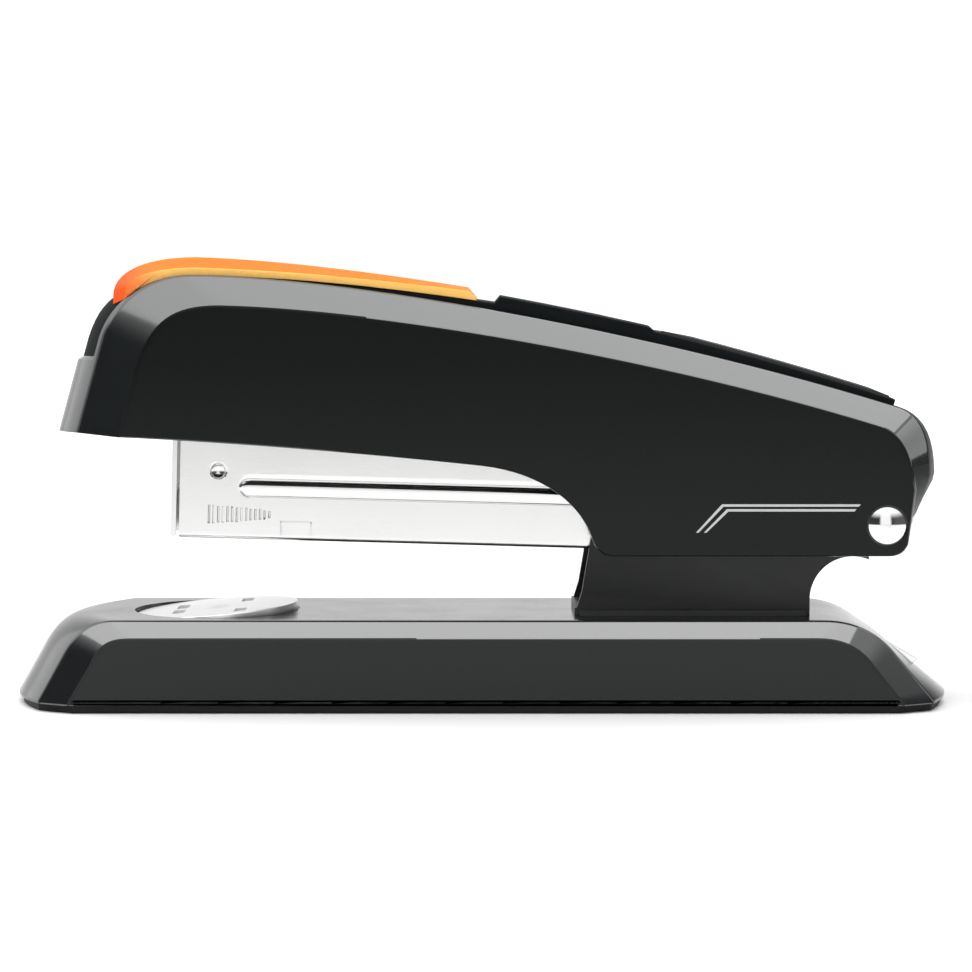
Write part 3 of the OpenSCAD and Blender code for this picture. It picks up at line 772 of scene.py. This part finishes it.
def relief(x, z):
    """How far the magazine's pressed side stands out at a point."""
    out = 0.0
    reach = 1.75
    ahead = max(BEAD_FRONT - x, 0) / reach
    if ahead < 1:
        scale = math.sqrt(1 - ahead * ahead)
        t = (z - BEAD_Z) / max(scale, 0.05)
        if -1.9 < t < 2.3:
            out += between(t, BEAD_PROFILE) * smooth(scale * 1.6)
    r = math.hypot(x - DIMPLE_X, z - DIMPLE_Z) / DIMPLE_R
    if r < 1:
        out -= DIMPLE_DEPTH * (1 - r * r) ** 0.7
    along = (x - RIBS[0]) / (RIBS[-1] - RIBS[0])
    if -0.02 < along < 1.03:
        top = between(along, [(0, -0.3), (0.9, -0.85), (1, -1.1)])
        low = between(along, [(0, -3.3), (0.9, -2.4), (1, -2.1)])
        if low < z < top and min(abs(x - rib) for rib in RIBS) < RIB_HALF * 0.6:
            out -= RIB_DEPTH
    x0, x1, z0, z1 = SIGN
    half_line = SIGN_LINE * 0.7
    if z0 < z < z1 and min(abs(x - x0), abs(x - x1)) < half_line:
        out -= SIGN_DEPTH
    if x0 < x < x1 and abs(z - z1) < half_line:
        out -= SIGN_DEPTH
    return out


def ticks(start, end, step):
    """Even values from start to end, about step apart."""
    n = max(1, round((end - start) / step))
    return [start + (end - start) * i / n for i in range(n + 1)]


def merged(*lists):
    """All values in order, without near repeats."""
    out = []
    for v in sorted(v for values in lists for v in values):
        if not out or v - out[-1] > 0.035:
            out.append(v)
    return out


def magazine_columns():
    """Values of x along the channel, close together where its wall is pressed."""
    return merged(
        ticks(MAG_FRONT, MAG_REAR, 2.2),
        ticks(-113.2, -110.1, 0.22),
        ticks(BEAD_FRONT - 1.8, BEAD_FRONT + 0.4, 0.18),
        [rib + d for rib in RIBS for d in (-RIB_HALF, -0.05, 0.05, RIB_HALF)],
        [end + d for end in SIGN[:2] for d in (-SIGN_LINE, -0.05, 0.05, SIGN_LINE)],
    )


def magazine_section():
    """Points (y, z) round the channel's U, close together where its walls are pressed."""
    lip = 0.8
    heights = merged(
        [MAG_LOW + lip, MAG_HIGH],
        ticks(-5, MAG_HIGH, 1.3),
        [BEAD_Z + t for t, _ in BEAD_PROFILE],
        ticks(BEAD_Z - 1.9, BEAD_Z + 2.3, 0.2),
        ticks(4.1, 6.9, 0.24),
        ticks(-3.5, -2.0, 0.16),
        ticks(-1.2, -0.2, 0.16),
        [SIGN[3] + d for d in (-SIGN_LINE, -0.05, 0.05, SIGN_LINE)],
    )
    heights = [z for z in heights if z >= MAG_LOW + lip]
    corner = [
        (MAG_Y - lip + lip * math.cos(a), MAG_LOW + lip - lip * math.sin(a))
        for a in (math.pi / 2 * k / 5 for k in range(1, 6))
    ]
    wall = [(MAG_Y, z) for z in reversed(heights)]
    floor = [(y, MAG_LOW) for y in (6.5, 4, 2)]
    half = wall + corner + floor
    return [(-y, z) for y, z in half] + [(0, MAG_LOW)] + [(y, z) for y, z in reversed(half)]


def magazine_channel():
    """Folded channel with its pressed bead, ribs, dimple and sign; its floor is open at the front."""
    floor_side, floor_front = 6.5, -116.5
    columns, path = magazine_columns(), magazine_section()
    points = []
    for x in columns:
        for y, z in path:
            side = -1 if y < 0 else 1
            out = relief(x, z) if abs(y) == MAG_Y else 0
            points.append(hinge_point(x, y + side * out, z))
    m = len(path)
    faces = []
    for k in range(len(columns) - 1):
        for i in range(m - 1):
            middle = abs(path[i][0] + path[i + 1][0]) / 2
            under = path[i][1] == MAG_LOW and path[i + 1][1] == MAG_LOW
            if not (under and middle < floor_side and columns[k] < floor_front):
                faces.append((k * m + i, k * m + i + 1, (k + 1) * m + i + 1, (k + 1) * m + i))
    channel = mesh("magazine_channel", points, faces)
    thick = channel.modifiers.new("sheet", "SOLIDIFY")
    thick.thickness = MAG_T * MM
    thick.offset = -1
    centre = Vector(hinge_point(-70, 0, 2)) * MM
    face = min(channel.data.polygons, key=lambda f: f.center.y)
    if face.normal.dot(face.center - centre) < 0:
        channel.data.flip_normals()
    settle(channel)
    paint(channel, nickel)
    finish_mesh(channel, 40)
    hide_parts("magazine")
    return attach(channel, "magazine")


def magazine_ears():
    """The two plates at the channel's rear that hang on the pin."""
    rear, bore_r = -21.1, 2.05
    for side, word in ((-1, "near"), (1, "far")):
        ear = [(rear, MAG_LOW + 0.4)] + run((rear, MAG_LOW), (-2, MAG_LOW), 6)
        ear += [
            (EAR_R * math.cos(a), EAR_R * math.sin(a))
            for a in (math.radians(-60 + 12 * k) for k in range(11))
        ]
        ear += [(-2, 5.2), (rear, MAG_HIGH)]
        inner, outer = sorted((side * (MAG_Y - MAG_T), side * MAG_Y))
        rings = [[hinge_point(x, y, z) for x, z in ear] for y in (inner, outer)]
        piece = skin(f"magazine_ear_{word}", rings)
        start, end = ((PIN_X, y, PIN_Z) for y in (inner - 1, outer + 1))
        carve(piece, rod("bore", bore_r, start, end))
        paint(piece, nickel)
        finish_mesh(piece, 35)
        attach(piece, "magazine")


def hinge_point(x, y, z):
    """A point given in the magazine's level frame round the hinge pin."""
    c, s = math.cos(MAG_TILT), math.sin(MAG_TILT)
    return (PIN_X + x * c + z * s, y, PIN_Z - x * s + z * c)


# ---------- carried-over CAD nodes ----------
def carry(name, material, bevel=0.0):
    """A CAD node that keeps its shape and gets its finish, with broken edges where they show."""
    obj = nodes[name]
    obj.data.materials.clear()
    obj.data.materials.append(material)
    if bevel:
        weld = obj.modifiers.new("weld", "WELD")
        weld.merge_threshold = 1e-6
        edge = obj.modifiers.new("edge", "BEVEL")
        edge.width = bevel * MM
        edge.segments = 2
        edge.limit_method = "ANGLE"
        edge.angle_limit = math.radians(35)
        edge.harden_normals = True


head_cover()
top_strip()
strip_panel()
pad()
stripes()
base_cover()
magazine_channel()
magazine_ears()

# Material and bevel in millimetres of every CAD node that stays
FINISHES = {
    "base_sole": (sole_rubber, 0.2),
    "base_plate": (frame_steel, 0.0),
    "base_screws": (frame_steel, 0.0),
    "bracket": (paint_black, 0.0),
    "bracket_rivets": (frame_steel, 0.0),
    "hinge_pin": (chrome, 0.0),
    "pin_cap": (chrome, 0.0),
    "magazine_spring": (spring_steel, 0.0),
    "staple_remover": (nickel, 0.15),
    "anvil_button": (anvil_metal, 0.0),
    "anvil_spring": (spring_steel, 0.0),
    "anvil": (anvil_metal, 0.15),
    "nose_plate": (nickel, 0.15),
    "staple_rail": (nickel, 0.1),
    "rail_plug": (frame_steel, 0.0),
    "guide_rod": (frame_steel, 0.0),
    "rod_anchor": (frame_steel, 0.0),
    "rail_rivets": (frame_steel, 0.0),
    "follower": (nickel, 0.1),
    "follower_spring": (spring_steel, 0.0),
    "head_frame": (paint_black, 0.0),
    "driver_blade": (spring_steel, 0.0),
    "blade_rivets": (frame_steel, 0.0),
    "cover_screws": (frame_steel, 0.0),
    "return_spring": (spring_steel, 0.0),
    "hold_down": (spring_steel, 0.0),
}
for node_name, finish in FINISHES.items():
    carry(node_name, *finish)


# ---------- studio ----------
def rise(tree, source, start, end, peak=1.0):
    """A node's output that climbs softly from 0 to peak while source goes from start to end."""
    made = tree.nodes.new("ShaderNodeMapRange")
    made.interpolation_type = "SMOOTHSTEP"
    made.inputs["From Min"].default_value = start
    made.inputs["From Max"].default_value = end
    made.inputs["To Max"].default_value = peak
    tree.links.new(source, made.inputs["Value"])
    return made.outputs["Result"]


def toward(tree, factor, colour, grey):
    """A node's output that turns colour into a plain grey as factor goes from 0 to 1."""
    made = tree.nodes.new("ShaderNodeMix")
    made.data_type = "RGBA"
    made.inputs["B"].default_value = (grey, grey, grey, 1)
    tree.links.new(factor, made.inputs["Factor"])
    tree.links.new(colour, made.inputs["A"])
    return made.outputs["Result"]


def lay_floor():
    """Pale paper floor. Its far part glows a little, so that it stays as pale as the near part."""
    size = 9.0
    floor = mesh(
        "floor",
        [(x * size / MM, y * size / MM, -0.02) for x, y in ((-1, -1), (1, -1), (1, 1), (-1, 1))],
        [(0, 1, 2, 3)],
    )
    mat = bpy.data.materials.new("floor_paper")
    mat.use_nodes = True
    tree = mat.node_tree
    shader = tree.nodes["Principled BSDF"]
    shader.inputs["Base Color"].default_value = (0.66, 0.66, 0.66, 1)
    shader.inputs["Roughness"].default_value = 0.7
    shader.inputs["Emission Color"].default_value = (1, 1, 1, 1)
    coord = tree.nodes.new("ShaderNodeTexCoord")
    away = tree.nodes.new("ShaderNodeSeparateXYZ")
    tree.links.new(coord.outputs["Object"], away.inputs[0])
    glow = rise(tree, away.outputs["Y"], 0.2, 1.1, 0.7)
    tree.links.new(glow, shader.inputs["Emission Strength"])
    paint(floor, mat)


def hang_lights():
    """Soft panels; those that hang low are aimed at the stapler, the others face down."""
    # name, place, width, depth and radiance of each light panel
    for name, at, wide, deep, radiance in (
        ("softbox_main", (-0.38, 0.12, 0.72), 2.4, 0.48, 2.6),
        ("softbox_front", (-0.50, -0.30, 0.72), 2.0, 0.36, 2.4),
        ("softbox_left", (-0.75, 0.45, 0.32), 0.5, 0.6, 0.9),
        ("softbox_right", (1.05, 0.10, 0.46), 0.7, 0.6, 1.5),
    ):
        data = bpy.data.lights.new(name, "AREA")
        data.shape = "RECTANGLE"
        data.size, data.size_y = wide, deep
        data.energy = radiance * math.pi * wide * deep
        lamp = bpy.data.objects.new(name, data)
        lamp.location = at
        if at[2] < 0.6:
            aim = Vector((0, 0, 0.03)) - lamp.location
            lamp.rotation_euler = aim.to_track_quat("-Z", "Y").to_euler()
        lamp.visible_camera = False
        bpy.context.scene.collection.objects.link(lamp)


def studio_dome():
    """World light: white behind and at the nose, dark at the hinge end and in front, and pale above.

    Straight in front, behind the photograph's camera, a narrow bright window breaks the dark part.
    """
    world = bpy.data.worlds.new("studio")
    bpy.context.scene.world = world
    world.use_nodes = True
    tree = world.node_tree
    link = tree.links.new
    back = tree.nodes["Background"]
    coord = tree.nodes.new("ShaderNodeTexCoord")
    apart = tree.nodes.new("ShaderNodeSeparateXYZ")
    link(coord.outputs["Generated"], apart.inputs["Vector"])

    def maths(operation, *inputs):
        made = tree.nodes.new("ShaderNodeMath")
        made.operation = operation
        for k, value in enumerate(inputs):
            if isinstance(value, (int, float)):
                made.inputs[k].default_value = value
            else:
                link(value, made.inputs[k])
        return made.outputs[0]

    x, y = apart.outputs["X"], apart.outputs["Y"]
    flat = maths("SQRT", maths("ADD", maths("MULTIPLY", x, x), maths("MULTIPLY", y, y)))
    level = maths("MAXIMUM", flat, 0.001)
    facing = maths("DIVIDE", maths("MULTIPLY", y, -1.0), level)
    # Grey by direction round the stapler: 0 is behind it, 0.5 at its two ends, 1 in front
    stops = [(0.0, 1.05), (0.50, 1.05), (0.60, 0.04), (0.968, 0.04), (0.986, 1.0), (1.0, 1.0)]
    ramp = tree.nodes.new("ShaderNodeValToRGB")
    link(maths("MULTIPLY_ADD", facing, 0.5, 0.5), ramp.inputs["Fac"])
    while len(ramp.color_ramp.elements) < len(stops):
        ramp.color_ramp.elements.new(0.5)
    for element, (at, value) in zip(ramp.color_ramp.elements, stops):
        element.position = at
        element.color = (value, value, value, 1)
    dimmed = toward(tree, rise(tree, maths("DIVIDE", x, level), 0.3, 0.6), ramp.outputs["Color"], 0.1)
    sky = toward(tree, rise(tree, apart.outputs["Z"], 0.3, 0.65), dimmed, 1.1)
    link(sky, back.inputs["Color"])
    back.inputs["Strength"].default_value = 1.0


def camera():
    """The photograph's view: a long lens, a little above the stapler and looking slightly down."""
    down = 3.963
    data = bpy.data.cameras.new("camera")
    data.lens = 102.11
    data.sensor_width = 36
    data.clip_start, data.clip_end = 0.01, 50
    eye = bpy.data.objects.new("camera", data)
    eye.location = (0.0007, -0.470, 0.06878)
    eye.rotation_euler = (math.radians(90 - down), 0, 0)
    bpy.context.scene.collection.objects.link(eye)
    bpy.context.scene.camera = eye


lay_floor()
hang_lights()
studio_dome()
camera()
bpy.context.scene.view_settings.view_transform = "Standard"
